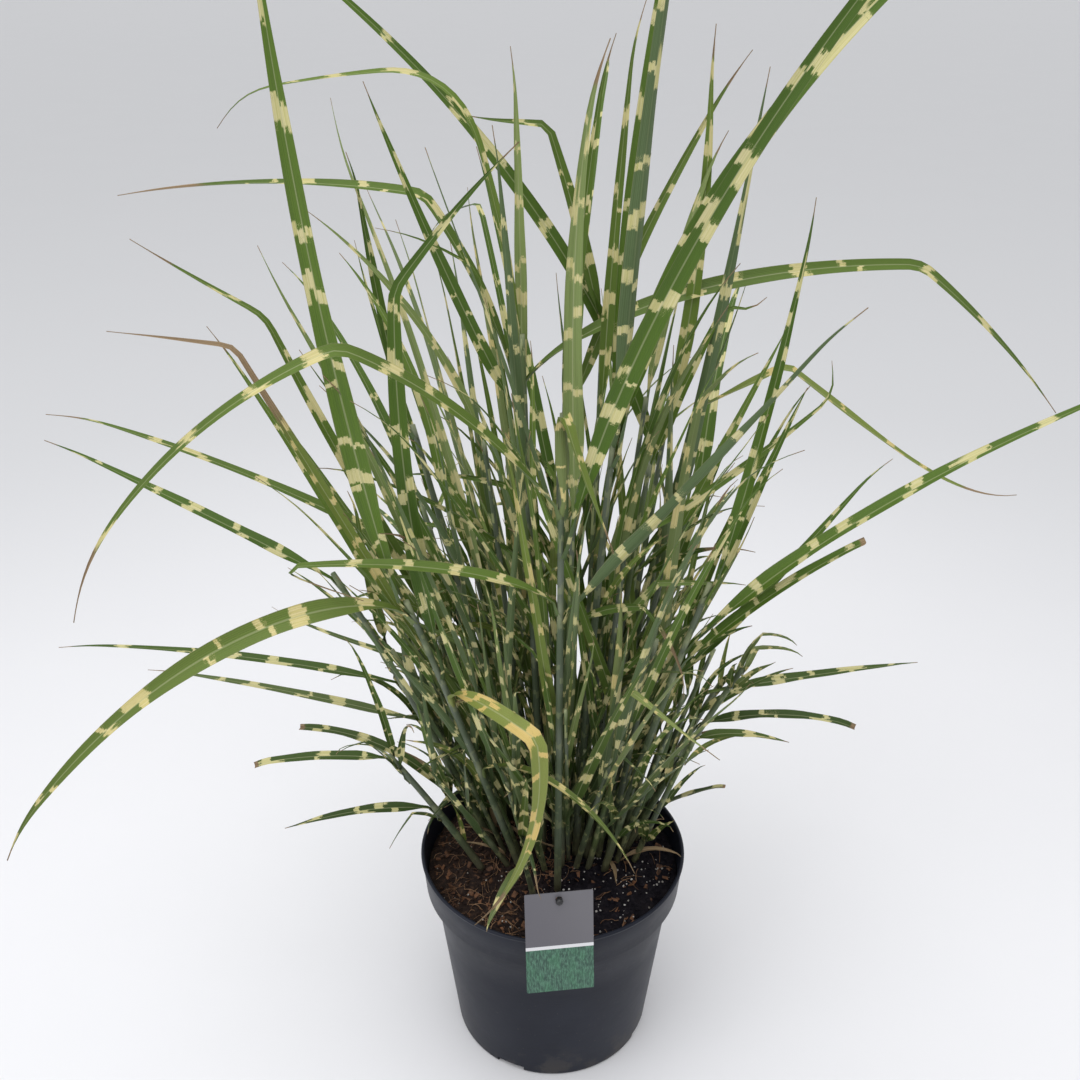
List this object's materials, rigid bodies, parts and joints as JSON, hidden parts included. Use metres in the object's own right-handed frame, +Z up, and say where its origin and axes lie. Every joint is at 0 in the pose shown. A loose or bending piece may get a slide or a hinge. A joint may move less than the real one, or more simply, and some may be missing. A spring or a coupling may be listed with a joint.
{
  "type": "potted miscanthus grass clump",
  "caption": "Zebra-banded ornamental grass clump standing in a round black plastic nursery pot of compost, with a plant label on a peg leaning on the rim.",
  "frame": {"origin": "middle of the pot's flat underside, on the surface it stands on", "axes": "+Z up, -Y to the front, where the plant label leans on the rim; +X to the right seen from the front"},
  "size_m": [0.8195, 0.6375, 1.0122],
  "materials": {
    "pot_plastic": "satin",
    "compost": "matte",
    "label_card": "satin",
    "label_stake": "gloss",
    "culm": "satin",
    "blade": "satin"
  },
  "bodies": {
    "root": {"pot": "pot_plastic", "soil": "compost", "label_card": "label_card", "label_stake": "label_stake", "culm_01": "culm", "culm_02": "culm", "culm_03": "culm", "culm_04": "culm", "culm_05": "culm", "culm_06": "culm", "culm_07": "culm", "culm_08": "culm", "culm_09": "culm", "culm_10": "culm", "culm_11": "culm", "culm_12": "culm", "culm_13": "culm", "culm_14": "culm", "blade_01": "blade", "blade_02": "blade", "blade_03": "blade", "blade_04": "blade", "blade_05": "blade", "blade_06": "blade", "blade_07": "blade", "blade_08": "blade", "blade_09": "blade", "blade_10": "blade", "blade_11": "blade", "blade_12": "blade", "blade_13": "blade", "blade_14": "blade", "blade_15": "blade", "blade_16": "blade", "blade_17": "blade", "blade_18": "blade", "blade_19": "blade", "blade_20": "blade", "blade_21": "blade", "blade_22": "blade", "blade_23": "blade", "blade_24": "blade", "blade_25": "blade", "blade_26": "blade", "blade_27": "blade", "blade_28": "blade", "blade_29": "blade", "blade_30": "blade", "blade_31": "blade", "blade_32": "blade", "blade_33": "blade", "blade_34": "blade", "blade_35": "blade", "blade_36": "blade", "blade_37": "blade", "blade_38": "blade", "blade_39": "blade", "blade_40": "blade", "blade_41": "blade", "blade_42": "blade"}
  },
  "joints": []
}
